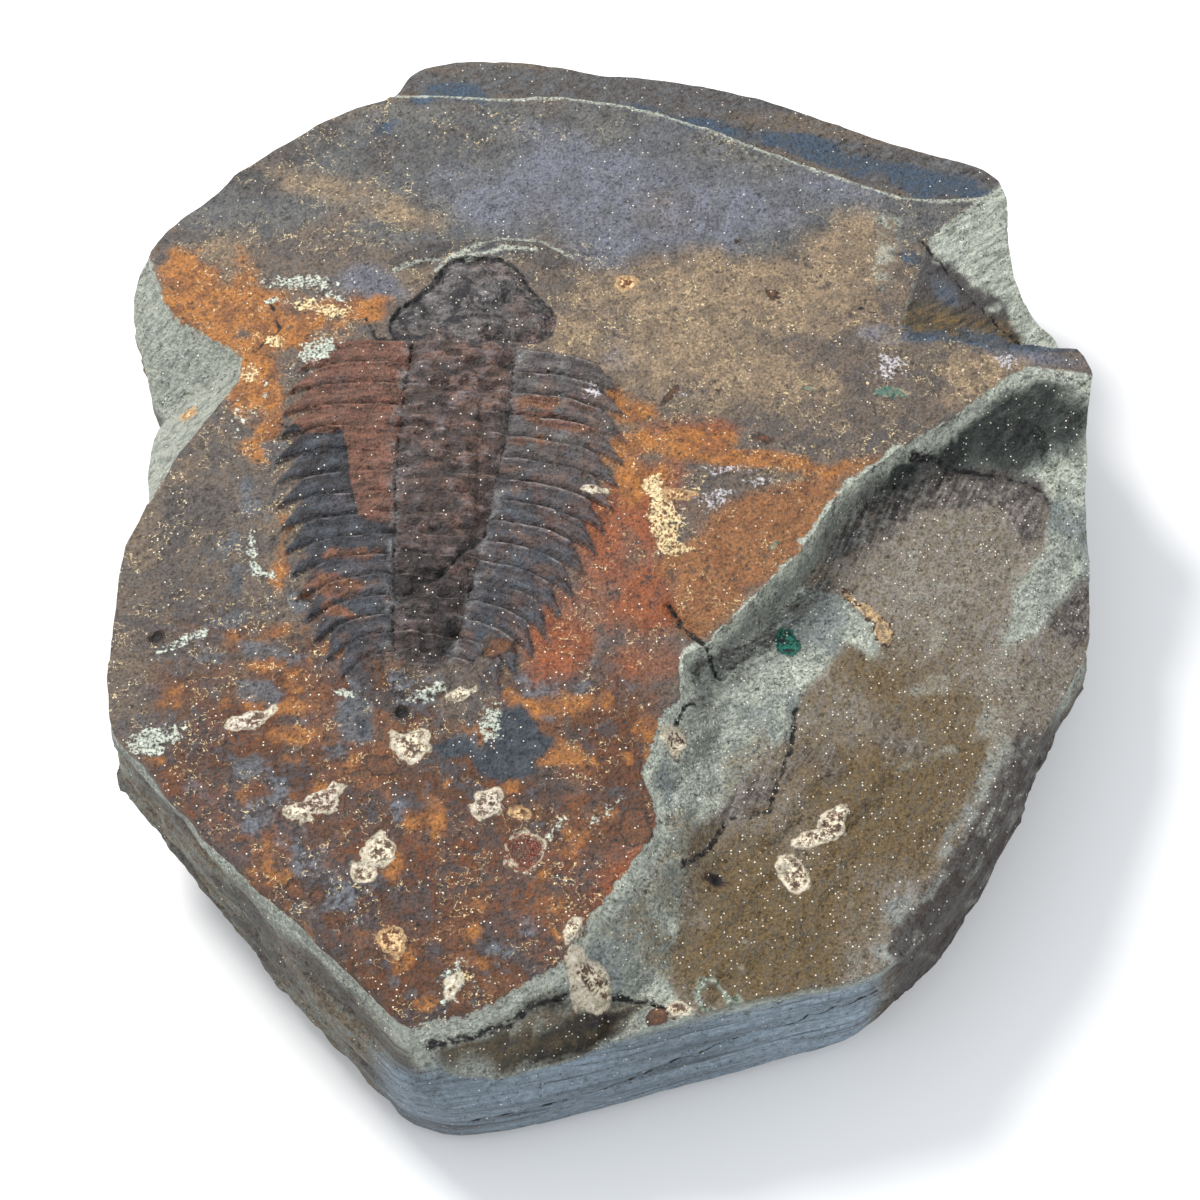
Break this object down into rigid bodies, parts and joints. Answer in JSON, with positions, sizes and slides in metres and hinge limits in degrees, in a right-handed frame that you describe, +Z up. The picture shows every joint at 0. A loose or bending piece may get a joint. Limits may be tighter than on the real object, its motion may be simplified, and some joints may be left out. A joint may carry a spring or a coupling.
{
  "type": "trilobite fossil on a slate slab",
  "caption": "Chunky broken slab of rust-brown slate lying flat, with a large ribbed trilobite in relief on its upper face and a lower bed exposed beside it; it is shown or studied as a specimen",
  "frame": {"origin": "centre of the slab's bounding box in plan, on the resting face", "axes": "+Z is up, out of the bedding face that bears the fossil; +Y runs to the back, the way the animal's head points, and is the slab's longest side; +X is to the right when the fossil is seen head up"},
  "size_m": [0.2002, 0.2386, 0.0451],
  "materials": {
    "stone": "matt weathered slate, rust brown with ochre, blue-black and olive stains"
  },
  "bodies": {
    "root": {"fossil_slab": "stone"}
  },
  "joints": []
}
